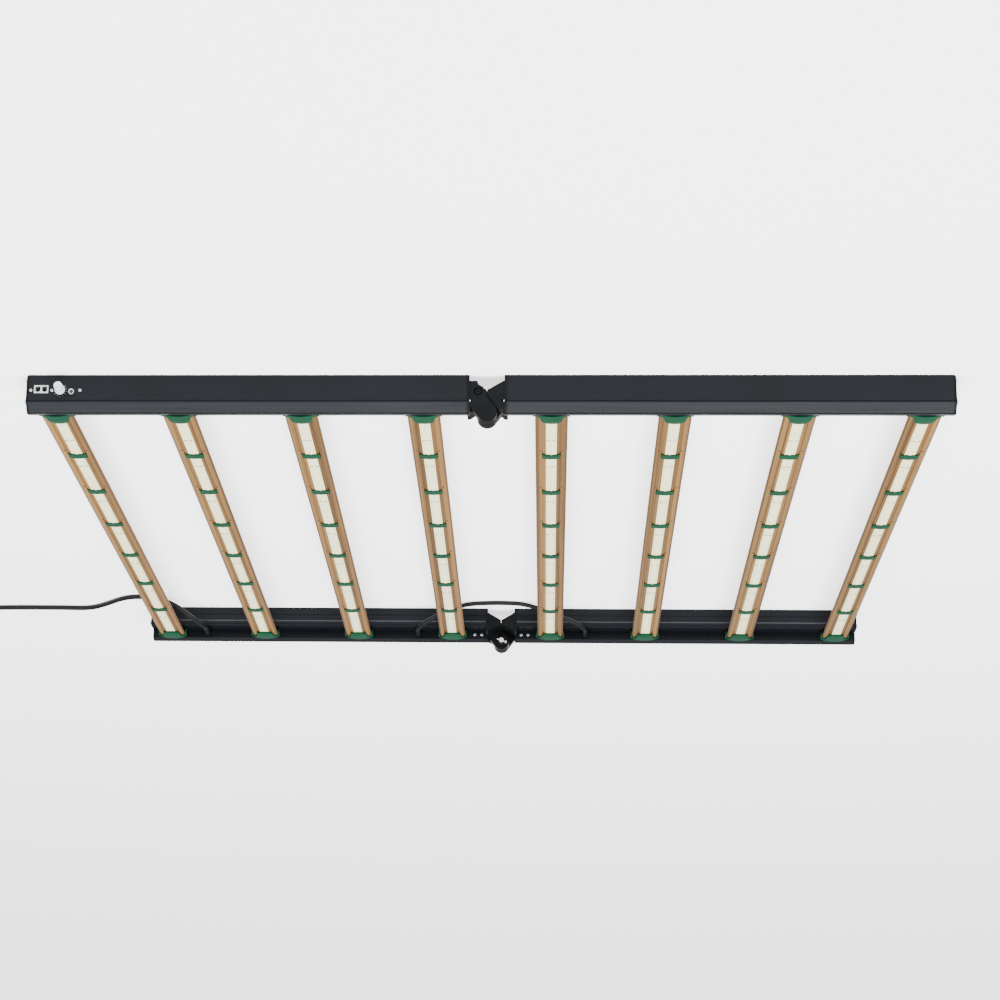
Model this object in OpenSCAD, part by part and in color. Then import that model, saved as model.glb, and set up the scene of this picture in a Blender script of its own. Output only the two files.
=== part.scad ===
// Folding eight-bar LED grow light, lying on its back with the light side up.
// X runs along the hinged beams, Y along the light bars, Z up from the backs of the beams.
// The half at +X takes the mains in; the half at -X folds over onto it about the Y axis.

/* [Overall] */
// Width over the outer end plates with both halves open
overall_w = 1109; // [1091:2:1131]
// Depth over the outer faces of the two pairs of beams
overall_d = 1070; // [1040:2:1110]
// Clear gap between the hinge plates of the two halves
hinge_gap = 41.8; // [41:0.2:44]

/* [Beam] */
// Depth of a beam from its outer face to its inner face
beam_d = 54.5; // [54:0.5:58]
// Full height of a beam at the crown of its skirt
beam_h = 45; // [44:0.5:45.5]
// Height of the ledge that the light bars sit on
ledge_h = 29.5; // [29:0.5:30.5]
// Depth of the hollow skirt outside the ledge
skirt_d = 26.4; // [26:0.2:27.4]
// Height at which the outer face turns into the sloping band
slope_z = 34; // [33:0.5:35]
// Depth of the sloping band
slope_d = 12; // [11:0.5:13]
// Wall of the extrusion
wall = 2; // [1.6:0.1:2.2]

/* [Light bars] */
// Distance from the hinge line to the centre of the innermost bars
first_bar_x = 76.9; // [74:0.1:80]
// Distance between neighbouring bars
bar_pitch = 148.4; // [146:0.2:150]
// Width of a bar
bar_w = 39.6; // [38:0.2:41]
// Width of the LED board
board_w = 13.3; // [12:0.1:13.4]
// Spacing of the strap clips along a bar
clip_pitch = 142; // [136:1:146]
// Number of strap clips on each bar
clips_per_bar = 6; // [4:1:6]

/* [Hinge] */
// Height of the fold axis above the backs of the beams
pivot_z = 46.7; // [46.7:0.1:48]
// Radius of a hinge lug
lug_r = 12; // [11:0.2:12]
// Radius of the hinge pin
pin_r = 5; // [4:0.5:5]

/* [Controls] */
// Height of the row of controls on the front face
panel_z = 20.1; // [19:0.1:21]
// Length of the dimmer knob
knob_len = 16; // [12:0.5:18]

/* [Cables] */
// Diameter of the mains cord
cord_dia = 7.6; // [7.2:0.1:7.8]
// Diameter of the jumper cable between the halves
jumper_dia = 7; // [6.6:0.1:7.2]

/* [Hidden] */
$fn = 48;
half_w = overall_w / 2;
half_d = overall_d / 2;
plate_t = 3;
flange_t = 3.5;
flange_x = hinge_gap / 2;
ear_h = 37.4;
beam_x0 = flange_x + flange_t;
beam_len = half_w - plate_t - beam_x0;
bars_per_half = 4;
bar_len = overall_d - 2 * skirt_d - 0.8;
slope_a = atan2(beam_h - slope_z, slope_d);
slope_start_r = 3;
slope_end_r = 4;
crown_fall = 12.5;
clip_len = 14;
end_screw_pts = [[4.6, 6], [4.6, 32.4], [beam_d - 4.6, 6], [beam_d - 4.6, ledge_h - 5.4]];
port_r = 1.7;
bar_screw_d = [skirt_d + 7, beam_d - 7.5];
bar_screw_r = 2;
channel_z = 38;
rim_z = 39.3;
face_z = 39.6;
board_t = 1.6;
cap_len = beam_d - skirt_d;
cap_wall = 2.2;
board_len = bar_len - 2 * (cap_len - 2);
gland_r = 5.1;
gland_z = ledge_h + gland_r + 0.05;
barrel_r = 4.25;
cord_gland_x = 466.3;
jumper_gland_x = 131.5;
hanger_x = 300;
hanger_d = 27;
hanger_r = 2.5;
lock_x = 10.6;
lock_z = 20.5;
lock_pin_r = 3;
tab_len = 23;
tab_screw_xs = [31, 42];
tab_screw_z = 35;
split_pin_tilt = -20;
lug_front = 1;
lug_split = 13;
lug_back = 27.3;
washer_y = lug_back + 0.3;
tip_y = washer_y + 8;
block_back = 54;
run = 0.3;
control_x = half_w - 5.7;
socket_x = half_w - 18.1;
middle_screw_x = half_w - 31.2;
knob_x = half_w - 41.4;
jack_x = half_w - 54.8;
last_screw_x = half_w - 65.3;
panel_screw_xs = [control_x, middle_screw_x, last_screw_x];
socket_w = 17.2;
socket_h = 9.8;
socket_z = panel_z - 6.5;
socket_pitch = 8.2;
cord_sides = 10;
coil_centre = [870, 428];
coil_r = 42;
coil_half_w = 11.4;
coil_h = 15.2;
plug_y = 372;

// Route of the mains cord from its strain relief to the coil
cord_route = [[466.3, 489.5, 34.65], [466.3, 481.5, 34.65], [467, 474, 34.6], [469.6, 466, 34],
    [474, 457.9, 32.4], [480, 449.9, 29.6], [487.2, 442.2, 25.6], [495.6, 434.8, 20.6], [505, 428.1, 15.4],
    [515.4, 422.2, 10.9], [526.5, 417.3, 7.4], [538.4, 413.5, 5], [550.7, 411.1, 4], [563.4, 410.3, 3.8],
    [576.5, 412.6, 3.8], [588.8, 419, 3.8], [600, 428.4, 3.8], [611, 439.6, 3.8], [622, 450.8, 3.8],
    [633, 461.2, 3.8], [644, 469.4, 3.8], [656, 474.2, 3.8], [669, 475.6, 3.8], [684, 474.8, 3.8],
    [704, 474, 3.8], [732, 474, 3.8], [758, 474, 3.8], [786, 475, 3.8], [814, 476.6, 3.8], [840, 477.6, 3.8],
    [862, 477.6, 3.8]];
// Short tail from the coil to the plug
cord_tail = [[919.6, 428, 11.4], [919.4, 419, 11.4], [918, 408, 11.2], [915.4, 397, 10.7],
    [913, 388, 10.2], [912.1, 380.5, 10], [912, 374, 10], [912, 371.5, 10]];
// Route of the jumper cable from gland to gland
jumper_route = [[131.5, 493, 34.65], [131.5, 485, 34.65], [130.5, 477.5, 34.4], [127.6, 470.5, 33.2],
    [123, 464.5, 31.2], [117, 459.9, 28.4], [109.8, 456.6, 24.8], [101, 454, 20.6], [91, 451.4, 16.2],
    [80, 448.8, 12], [68, 446.2, 8], [55, 443.6, 5], [40, 441, 3.7], [23, 438.8, 3.5], [6, 437.4, 3.5],
    [-11, 438.2, 3.5], [-27, 440, 3.8], [-42, 442.6, 5.6], [-56, 445.4, 8.8], [-69.4, 448.2, 12.8],
    [-81, 450.6, 16.7], [-91.4, 452.6, 20.4], [-101, 454.4, 23.8], [-109.8, 456.8, 26.8],
    [-117, 459.9, 29.3], [-123, 464.5, 31.6], [-127.6, 470.5, 33.4], [-130.5, 477.5, 34.4],
    [-131.5, 485, 34.65], [-131.5, 493, 34.65]];

// ---- placing helpers ----

// Extrudes a (y, z) outline along X from x0
module along_x(x0, len) {
    translate([x0, 0, 0]) rotate([90, 0, 90]) linear_extrude(len) children();
}

// Extrudes an (x, z) outline along Y from y0
module along_y(y0, len) {
    translate([0, y0 + len, 0]) rotate([90, 0, 0]) linear_extrude(len) children();
}

// A cylinder along Y from y0
module rod_y(x, y0, z, r, len) {
    translate([x, y0, z]) rotate([-90, 0, 0]) cylinder(h = len, r = r);
}

// A cylinder along X from x0
module rod_x(x0, y, z, r, len) {
    translate([x0, y, z]) rotate([0, 90, 0]) cylinder(h = len, r = r);
}

// Depth coordinate 0 at the outer face of the front pair, growing inwards
module at_front() {
    translate([0, -half_d, 0]) children();
}

// The same for the back pair, as a mirror image
module at_back() {
    mirror([0, 1, 0]) translate([0, -half_d, 0]) children();
}

// The back hinge is the front hinge turned half round about Z
module at_back_hinge() {
    rotate([0, 0, 180]) translate([0, -half_d, 0]) children();
}

// The half at -X is a mirror image of the half at +X
module on_half(side) {
    if (side == "a") children();
    if (side == "b") mirror([1, 0, 0]) children();
}

function bar_x(i) = i < bars_per_half
    ? first_bar_x + (bars_per_half - 1 - i) * bar_pitch
    : -first_bar_x - (i - bars_per_half) * bar_pitch;

// ---- beams ----

// Outline of the beam in depth and height, drawn in by the given inset
module beam_outline(inset) {
    lo = inset;
    tilt = [-sin(slope_a), cos(slope_a)];
    start = [slope_start_r, slope_z - slope_start_r * (1 - sin(slope_a)) / cos(slope_a)];
    end = [slope_d + slope_end_r * (1 - cos(slope_a)) / sin(slope_a), beam_h - slope_end_r];
    fall = [sin(crown_fall), cos(crown_fall)];
    inner_x = skirt_d - lo;
    inner_z = end[1] + (slope_end_r - lo - (inner_x - end[0]) * fall[0]) / fall[1];
    polygon([[lo, lo], [beam_d - lo, lo], [beam_d - lo, ledge_h - lo], [inner_x, ledge_h - lo],
        [inner_x, inner_z], end + (slope_end_r - lo) * fall, end + (slope_end_r - lo) * tilt,
        start + (slope_start_r - lo) * tilt, [lo, start[1]]]);
    translate(start) circle(slope_start_r - lo);
    translate(end) circle(slope_end_r - lo);
}

module beam_section() {
    difference() {
        union() {
            beam_outline(0);
            translate([beam_d - 0.2, 21.6]) circle(1);
        }
        difference() {
            beam_outline(wall);
            for (p = end_screw_pts) translate(p) circle(3.6);
        }
        for (p = end_screw_pts) translate(p) circle(port_r);
        translate([beam_d - 0.8, 11]) square([2, 1.8]);
        translate([beam_d - 0.6, 26.6]) square([2, 1.2]);
        translate([-1, slope_z - 1.7]) square([1.6, 1.2]);
        for (d = [12, 42]) translate([d, -1]) square([1.6, 1.6]);
    }
}

module bar_screw_holes() {
    for (i = [0 : bars_per_half - 1], d = bar_screw_d) {
        translate([bar_x(i), d, ledge_h - wall - 1]) cylinder(h = wall + 2, r = bar_screw_r + 0.1);
    }
}

module beam() {
    difference() {
        along_x(beam_x0, beam_len) beam_section();
        bar_screw_holes();
        for (x = tab_screw_xs) rod_y(x, skirt_d - wall - 1, tab_screw_z, 1.8, wall + 2);
        translate([hanger_x, hanger_d, -1]) cylinder(h = wall + 2, r = 4.55);
    }
}

module control_cutouts() {
    translate([socket_x - socket_w / 2 - 0.1, -2, socket_z - 0.1])
        cube([socket_w + 0.2, wall + 3, socket_h + 0.2]);
    rod_y(knob_x, -2, panel_z, 3.6, wall + 3);
    rod_y(jack_x, -2, panel_z + 1.6, 3.1, wall + 3);
    for (x = panel_screw_xs) rod_y(x, -2, panel_z, 1.6, wall + 3);
}

module front_beam_a() {
    color([0.13, 0.13, 0.14]) at_front() difference() {
        beam();
        control_cutouts();
    }
}

module front_beam_b() {
    color([0.13, 0.13, 0.14]) on_half("b") at_front() beam();
}

module gland_hole(x) {
    rod_y(x, skirt_d - wall - 1, gland_z, barrel_r + 0.05, wall + 2);
}

module back_beam_a() {
    color([0.13, 0.13, 0.14]) at_back() difference() {
        beam();
        gland_hole(cord_gland_x);
        gland_hole(jumper_gland_x);
    }
}

module back_beam_b() {
    color([0.13, 0.13, 0.14]) on_half("b") at_back() difference() {
        beam();
        gland_hole(jumper_gland_x);
    }
}

// ---- beam ends ----

module end_screw_holes(x0, len) {
    for (p = end_screw_pts) rod_x(x0 - 1, p[0], p[1], 2.05, len + 2);
}

module outer_end_plate() {
    difference() {
        along_x(half_w - plate_t, plate_t) beam_outline(0);
        end_screw_holes(half_w - plate_t, plate_t);
        translate([half_w, -1, 0]) rotate([0, 45, 0]) translate([-1.4, 0, -4]) cube([4, 60, 8]);
    }
}

module front_end_plate_a() {
    color([0.1, 0.1, 0.11]) at_front() outer_end_plate();
}

module front_end_plate_b() {
    color([0.1, 0.1, 0.11]) on_half("b") at_front() outer_end_plate();
}

module back_end_plate_a() {
    color([0.1, 0.1, 0.11]) at_back() outer_end_plate();
}

module back_end_plate_b() {
    color([0.1, 0.1, 0.11]) on_half("b") at_back() outer_end_plate();
}

// Pan-head self-tapping screw along X; dir is +1 when it is driven towards +X
module end_screw(x_face, p, dir) {
    head_t = 1.9;
    shank = 11;
    rod_x(dir > 0 ? x_face - head_t : x_face, p[0], p[1], 3.1, head_t);
    rod_x(dir > 0 ? x_face : x_face - shank, p[0], p[1], port_r - 0.05, shank);
}

// Pan-head screw through the skirt's inner wall into the tab of the hinge flange
module tab_screw(x) {
    rod_y(x, skirt_d, tab_screw_z, 2.7, 1.7);
    rod_y(x, skirt_d - 7, tab_screw_z, 1.5, 7);
}

module end_screws_one_beam() {
    for (p = end_screw_pts) {
        end_screw(flange_x, p, 1);
        end_screw(half_w, p, -1);
    }
    for (x = tab_screw_xs) tab_screw(x);
}

module beam_end_screws(side) {
    color([0.72, 0.73, 0.74]) on_half(side) {
        at_front() end_screws_one_beam();
        at_back() end_screws_one_beam();
    }
}

module hanger_insert() {
    difference() {
        union() {
            cylinder(h = 13, r = 4.5);
            translate([0, 0, wall]) cylinder(h = 1.4, r = 5.6);
        }
        translate([0, 0, -1]) cylinder(h = 15, r = hanger_r);
    }
}

module hanger_inserts(side) {
    color([0.75, 0.75, 0.76]) on_half(side) {
        for (s = [-1, 1]) translate([hanger_x, s * (half_d - hanger_d), 0]) hanger_insert();
    }
}

// ---- hinges ----
// Local frame: depth from the outer face, bracket A at +X with the lock pin, bracket B at -X.

// Upper block that makes the V between the halves and the stop faces, for the +X side
module block_outline() {
    polygon([[flange_x, 7.2], [19.7, 7.2], [1, 18.4], [run, 19.2], [run, 27], [8.9, 29],
        [flange_x, ear_h]]);
}

// Shoulder that clears the other bracket's lug, for the +X side
module shoulder_outline() {
    polygon([[flange_x, 7.2], [19.7, 7.2], [1, 18.4], [run, 19.2], [run, 25], [14.3, 44],
        [flange_x, 42]]);
}

// Lug and its web, for the +X side
module lug_outline() {
    polygon([[flange_x, 7.2], [19.7, 7.2], [1, 18.4], [run, 19.2], [run, 26], [-10.3, 40.6],
        [-8, pivot_z], [9.67, pivot_z + 7.1], [flange_x, 38.5]]);
    translate([0, pivot_z]) circle(lug_r);
}

// Boss round the lock pin
module lock_boss_outline() {
    polygon([[flange_x, 7.2], [11.6, 7.2], [10.3, 11.6], [4, 15.5], [4, 27], [flange_x, 30]]);
}

// Tongue that the lock pin engages, reaching across from the -X side
module tongue_outline() {
    polygon([[-4, 17], [0, 16], [16, 13.5], [16, 27.5], [-4, 27.5]]);
}

// Plate on the end of the beam, with an ear over the ledge and a tab inside the skirt
module hinge_flange() {
    difference() {
        union() {
            along_x(flange_x, flange_t) {
                beam_outline(0);
                translate([skirt_d - 1, 0]) square([beam_d - skirt_d + 1, ear_h]);
            }
            translate([flange_x + 1, skirt_d - wall - 4, tab_screw_z - 3.5]) cube([tab_len, 3.9, 7]);
        }
        end_screw_holes(flange_x, flange_t);
        for (x = tab_screw_xs) rod_y(x, skirt_d - wall - 5, tab_screw_z, 1.55, 6);
    }
}

// Pockets that let the flange screws' heads sit on the flange
module screw_pockets() {
    for (p = end_screw_pts) rod_x(flange_x - 3.4, p[0], p[1], 3.9, 3.4);
}

module bracket_a() {
    difference() {
        union() {
            along_y(lug_front, lug_split - lug_front) {
                lug_outline();
                lock_boss_outline();
            }
            along_y(lug_back + run, block_back - lug_back - run) block_outline();
            translate([flange_x - 3, lug_front, 7.2]) cube([3, block_back - lug_front, ledge_h - 7.2]);
        }
        screw_pockets();
        rod_y(0, 3, pivot_z, pin_r, lug_split);
        rod_y(lock_x, lug_front - 1, lock_z, 5.2, 8.5);
        rod_y(lock_x, lug_front, lock_z, lock_pin_r + 0.05, lug_split);
    }
    hinge_flange();
}

module bracket_b() {
    difference() {
        union() {
            mirror([1, 0, 0]) {
                along_y(lug_front, lug_split - lug_front + run) shoulder_outline();
                along_y(lug_split + run, lug_back - lug_split - run) lug_outline();
                along_y(lug_back, block_back - lug_back) block_outline();
            }
            along_y(lug_split + run, lug_back - lug_split - run) tongue_outline();
        }
        mirror([1, 0, 0]) screw_pockets();
        rod_y(0, lug_split, pivot_z, pin_r + 0.05, lug_back);
        rod_y(lock_x, lug_split, lock_z, lock_pin_r + 0.1, 8);
    }
    mirror([1, 0, 0]) hinge_flange();
}

module front_hinge_bracket_a() {
    color([0.09, 0.09, 0.1]) at_front() bracket_a();
}

module front_hinge_bracket_b() {
    color([0.09, 0.09, 0.1]) at_front() bracket_b();
}

module back_hinge_bracket_a() {
    color([0.09, 0.09, 0.1]) at_back_hinge() bracket_b();
}

module back_hinge_bracket_b() {
    color([0.09, 0.09, 0.1]) at_back_hinge() bracket_a();
}

// Placing at the hinge pin's tip, with local X along the split pin
module at_split_pin() {
    translate([0, tip_y, pivot_z]) rotate([0, split_pin_tilt, 0]) children();
}

// Hinge pin with a thinner tip, cross-drilled for the split pin
module hinge_pin() {
    difference() {
        union() {
            rod_y(0, 3, pivot_z, pin_r, washer_y + 1.5 - 3);
            rod_y(0, washer_y, pivot_z, pin_r - 1.5, tip_y + 3 - washer_y);
        }
        at_split_pin() rod_x(-9, 0, 0, 0.95, 18);
    }
}

module front_hinge_pin() {
    color([0.62, 0.63, 0.64]) at_front() hinge_pin();
}

module back_hinge_pin() {
    color([0.62, 0.63, 0.64]) at_back_hinge() hinge_pin();
}

// Washer on the hinge pin and the split pin that keeps it there
module hinge_retainer() {
    difference() {
        rod_y(0, washer_y, pivot_z, 6.8, 1.5);
        rod_y(0, washer_y - 1, pivot_z, pin_r + 0.1, 4);
    }
    at_split_pin() {
        rod_x(-7, 0, 0, 0.9, 13.2);
        translate([7.2, 0, 0]) rotate([90, 0, 0]) rotate_extrude() translate([1.4, 0]) circle(0.7);
    }
}

module front_hinge_retainer() {
    color([0.75, 0.76, 0.76]) at_front() hinge_retainer();
}

module back_hinge_retainer() {
    color([0.75, 0.76, 0.76]) at_back_hinge() hinge_retainer();
}

module lock_pin() {
    rod_y(lock_x, 2, lock_z, 4.7, 2.5);
    rod_y(lock_x, 4.5, lock_z, lock_pin_r, 8.1);
}

module front_lock_pin() {
    color([0.12, 0.12, 0.13]) at_front() lock_pin();
}

module back_lock_pin() {
    color([0.12, 0.12, 0.13]) at_back_hinge() lock_pin();
}

// ---- light bars ----

// Half outline of the heatsink in x and z
module heatsink_half() {
    hw = bar_w / 2;
    polygon([[0, ledge_h], [4.6, ledge_h], [4.6, channel_z - 1.6], [hw - 2.6, channel_z - 1.4],
        [hw, channel_z - 1], [hw, channel_z], [hw - 2.4, face_z - 0.2], [hw - 3.2, face_z], [12.2, face_z],
        [11.8, face_z - 0.4], [11.8, channel_z], [10.3, channel_z], [10.3, rim_z - 0.3], [10, rim_z],
        [7.2, rim_z], [6.9, rim_z - 0.3], [6.9, channel_z], [0, channel_z]]);
    for (x = [8.6, 12.4]) translate([x, ledge_h]) square([1.4, channel_z - ledge_h - 0.6]);
}

// Countersunk dimples beside each clip
module clip_dimples() {
    for (k = [0 : clips_per_bar - 1], s = [-1, 1]) {
        translate([s * 13, clip_y(k) - 19, channel_z - 3]) cylinder(h = 4, r = 1.3);
        translate([s * 13, clip_y(k) - 19, face_z - 1.2]) cylinder(h = 2, r1 = 1.3, r2 = 3);
    }
}

function clip_y(k) = (k - (clips_per_bar - 1) / 2) * clip_pitch;

module heatsink(i) {
    color([0.78, 0.6, 0.36]) translate([bar_x(i), 0, 0]) difference() {
        along_y(-bar_len / 2, bar_len) {
            heatsink_half();
            mirror([1, 0]) heatsink_half();
        }
        clip_dimples();
        for (d = bar_screw_d, s = [-1, 1]) {
            translate([0, s * (half_d - d), ledge_h - 1]) cylinder(h = 10, r = bar_screw_r + 0.1);
        }
    }
}

module led_board(i) {
    color([0.97, 0.96, 0.88]) translate([bar_x(i) - board_w / 2, -board_len / 2, channel_z])
        cube([board_w, board_len, board_t]);
}

// Arched strap with a foot in each groove of the heatsink
module strap_clip() {
    arch_r = 55.7;
    top_z = 41.6;
    along_y(-clip_len / 2, clip_len) {
        intersection() {
            translate([0, top_z - arch_r]) difference() {
                circle(arch_r, $fn = 180);
                circle(arch_r - 0.9, $fn = 180);
            }
            translate([-11.5, channel_z]) square([23, 6]);
        }
        for (s = [-1, 1]) translate([s * 11 - 0.5, channel_z]) square([1, 2.4]);
    }
}

module strap_clips(side) {
    color([0.08, 0.5, 0.35]) on_half(side) {
        for (i = [0 : bars_per_half - 1], k = [0 : clips_per_bar - 1]) {
            translate([bar_x(i), clip_y(k), 0]) strap_clip();
        }
    }
}

// Half plan of an end cap: a short tab beside the bar and a tongue over the LED board
module cap_plan_half(hw, ow) {
    polygon([[0, 0], [ow, 0], [ow, 10.8], [ow - 0.8, 12], [hw, 12], [hw - 0.6, 6.4], [16.8, 5.6],
        [15, 7.8], [14, 11], [13.5, 16], [12.9, 20.5], [12, 23.6], [10.2, 26], [7, 27.6], [0, 28]]);
}

// Moulded cap over the end of a bar: local y runs inwards from the skirt
module bar_end_cap() {
    hw = bar_w / 2 + 0.15;
    ow = hw + cap_wall;
    difference() {
        intersection() {
            along_y(0.1, cap_len) {
                polygon([[-ow, ledge_h + 0.1], [ow, ledge_h + 0.1], [ow, 40], [ow - 1, 41],
                    [-ow + 1, 41], [-ow, 40]]);
                intersection() {
                    translate([0, 44.2 - 62]) circle(62, $fn = 180);
                    translate([-ow + 1, 38]) square([2 * ow - 2, 8]);
                }
            }
            linear_extrude(60) {
                cap_plan_half(hw, ow);
                mirror([1, 0]) cap_plan_half(hw, ow);
            }
        }
        translate([-hw, -1, ledge_h - 1]) cube([2 * hw, 60, face_z - ledge_h + 1.1]);
        for (d = bar_screw_d) translate([0, d - skirt_d, face_z - 1]) cylinder(h = 2.4, r = 4.2);
    }
}

module bar_end_caps(side) {
    color([0.08, 0.5, 0.35]) on_half(side) {
        for (i = [0 : bars_per_half - 1]) {
            translate([bar_x(i), -half_d + skirt_d, 0]) bar_end_cap();
            translate([bar_x(i), half_d - skirt_d, 0]) mirror([0, 1, 0]) bar_end_cap();
        }
    }
}

module bar_screw() {
    translate([0, 0, channel_z]) cylinder(h = 2, r = 3.6);
    tip_z = ledge_h - wall - 0.8;
    translate([0, 0, tip_z]) cylinder(h = channel_z - tip_z, r = bar_screw_r);
}

module bar_screws(side) {
    color([0.7, 0.71, 0.72]) on_half(side) {
        for (i = [0 : bars_per_half - 1], d = bar_screw_d, s = [-1, 1]) {
            translate([bar_x(i), s * (half_d - d), 0]) bar_screw();
        }
    }
}

// ---- electrics inside ----

module led_driver(side) {
    color([0.6, 0.61, 0.62]) on_half(side) at_back() difference() {
        translate([110, 9.5, wall]) cube([360, 35, 22]);
        translate([hanger_x, hanger_d, wall - 1]) cylinder(h = 14.5, r = 7);
        for (x = [130 : 20 : 450]) translate([x, 9, wall + 19]) cube([12, 36, 4]);
    }
}

module control_board() {
    color([0.1, 0.35, 0.2]) at_front() difference() {
        translate([last_screw_x - 5, wall + 8.4, 7.5]) cube([control_x - last_screw_x + 7.4, 1.6, 20]);
        for (x = panel_screw_xs) rod_y(x, wall + 8, panel_z, 1.6, 3);
    }
    color([0.75, 0.75, 0.75]) at_front() for (x = panel_screw_xs) difference() {
        rod_y(x, wall, panel_z, 2.4, 8.4);
        rod_y(x, wall - 1, panel_z, 1.6, 11);
    }
}

// Two modular sockets in one housing that stands through the face
module data_sockets() {
    color([0.78, 0.79, 0.78]) at_front() difference() {
        translate([socket_x - socket_w / 2, -0.6, socket_z]) cube([socket_w, wall + 9, socket_h]);
        for (s = [-1, 1]) translate([socket_x + s * socket_pitch / 2, -1.6, socket_z]) {
            translate([-3.2, 0, 1]) cube([6.4, 9, 6.6]);
            translate([-1.6, 0, 7.4]) cube([3.2, 9, 1.2]);
        }
    }
}

module dimmer_pot() {
    color([0.35, 0.36, 0.37]) at_front() {
        translate([knob_x - 4.7, wall + 0.2, panel_z - 5]) cube([9.4, 8.2, 10]);
        rod_y(knob_x, -1.6, panel_z, 3.5, wall + 1.9);
        rod_y(knob_x, -11, panel_z, 3, 9.5);
    }
}

module dimmer_knob() {
    color([0.83, 0.85, 0.84]) at_front() translate([knob_x, -2.2, panel_z]) rotate([90, 0, 0]) difference() {
        union() {
            cylinder(h = 2, r = 6.2);
            translate([0, 0, 2]) cylinder(h = knob_len - 3, r1 = 5.9, r2 = 5.2);
            translate([0, 0, knob_len - 1]) cylinder(h = 1, r1 = 5.2, r2 = 4.5);
            translate([-0.6, 0, 2]) cube([1.2, 6.6, knob_len - 4]);
        }
        translate([0, 0, -1]) cylinder(h = 10.2, r = 3.05);
    }
}

module sensor_jack() {
    z = panel_z + 1.6;
    color([0.7, 0.71, 0.7]) at_front() difference() {
        union() {
            rod_y(jack_x, -1.5, z, 3.5, 1.5);
            rod_y(jack_x, 0, z, 3, wall + 0.2);
            translate([jack_x - 3.6, wall + 0.2, z - 4]) cube([7.2, 8.2, 8]);
        }
        rod_y(jack_x, -2.5, z, 1.8, 11);
    }
}

module panel_screws() {
    color([0.8, 0.81, 0.82]) at_front() for (x = panel_screw_xs) {
        rod_y(x, -1.4, panel_z, 1.9, 1.4);
        rod_y(x, 0, panel_z, 1.5, wall + 9.6);
    }
}

// ---- glands and cables ----

// Gland in the skirt's inner wall, held by two wings behind it: local y runs inwards from the outer face
module gland(x, cable_r, boot_len, slack = 0) {
    boot_y = skirt_d + 4;
    difference() {
        union() {
            rod_y(x, skirt_d, gland_z, gland_r, 4);
            rod_y(x, skirt_d - wall - 4, gland_z, barrel_r, wall + 5);
            translate([x - 6, skirt_d - wall - 3, gland_z - barrel_r]) cube([12, 3, 2 * barrel_r]);
            translate([x, boot_y, gland_z]) rotate([-90, 0, 0])
                cylinder(h = boot_len, r1 = gland_r - 0.1, r2 = cable_r + 0.5);
        }
        rod_y(x, boot_y + boot_len - 8, gland_z, cable_r + slack, 10);
    }
}

module mains_gland() {
    color([0.14, 0.14, 0.15]) at_back() gland(cord_gland_x, cord_dia / 2, 23.1);
}

module jumper_gland(side) {
    slack = side == "b" ? run : 0;
    color([0.14, 0.14, 0.15]) on_half(side) at_back() gland(jumper_gland_x, jumper_dia / 2, 19.6, slack);
}

function unit(v) = v / norm(v);
function tangent(p, i) = unit(p[min(i + 1, len(p) - 1)] - p[max(i - 1, 0)]);
function side_of(t) = unit(cross(t, abs(t[2]) > 0.9 ? [1, 0, 0] : [0, 0, 1]));
function ring_at(p, i, r, n) = let (t = tangent(p, i), u = side_of(t), w = cross(u, t))
    [for (k = [0 : n - 1]) p[i] + r * (cos(360 * (k + 0.5) / n) * u + sin(360 * (k + 0.5) / n) * w)];

// A tube of n sides swept along the points of a route
module swept_tube(p, r, n) {
    pts = [for (i = [0 : len(p) - 1]) each ring_at(p, i, r, n)];
    sides = [for (i = [0 : len(p) - 2], k = [0 : n - 1])
        [i * n + k, i * n + (k + 1) % n, (i + 1) * n + (k + 1) % n, (i + 1) * n + k]];
    first = [for (k = [n - 1 : -1 : 0]) k];
    last = [for (k = [0 : n - 1]) (len(p) - 1) * n + k];
    polyhedron(points = pts, faces = concat([first], sides, [last]));
}

module jumper_cable() {
    color([0.07, 0.07, 0.07]) swept_tube(jumper_route, jumper_dia / 2, cord_sides);
}

module mains_cord() {
    color([0.07, 0.07, 0.07]) {
        swept_tube(cord_route, cord_dia / 2, cord_sides);
        swept_tube(cord_tail, cord_dia / 2, cord_sides);
    }
}

// Outer shape of the wound length of the cord
module mains_cord_coil() {
    color([0.07, 0.07, 0.07]) translate([coil_centre[0], coil_centre[1], 0]) rotate_extrude($fn = 96)
        translate([coil_r - coil_half_w, 0]) square([2 * coil_half_w, coil_h]);
}

// Moulded three-pin plug lying on its flat side
module mains_plug() {
    px = coil_centre[0] + coil_r;
    color([0.09, 0.09, 0.09]) {
        translate([px - 12.5, plug_y - 46, 0]) cube([25, 26, 20]);
        translate([px, plug_y - 8, 10]) rotate([90, 0, 0]) cylinder(h = 13, r1 = 5.2, r2 = 8.5);
        translate([px, plug_y, 10]) rotate([90, 0, 0]) cylinder(h = 9, r = 4.6);
    }
    color([0.8, 0.7, 0.4]) {
        for (s = [-1, 1]) translate([px + s * 6.35 - 0.75, plug_y - 64, 9]) cube([1.5, 18.5, 6.3]);
        rod_y(px, plug_y - 67, 4.6, 2.4, 21.5);
    }
}

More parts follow.
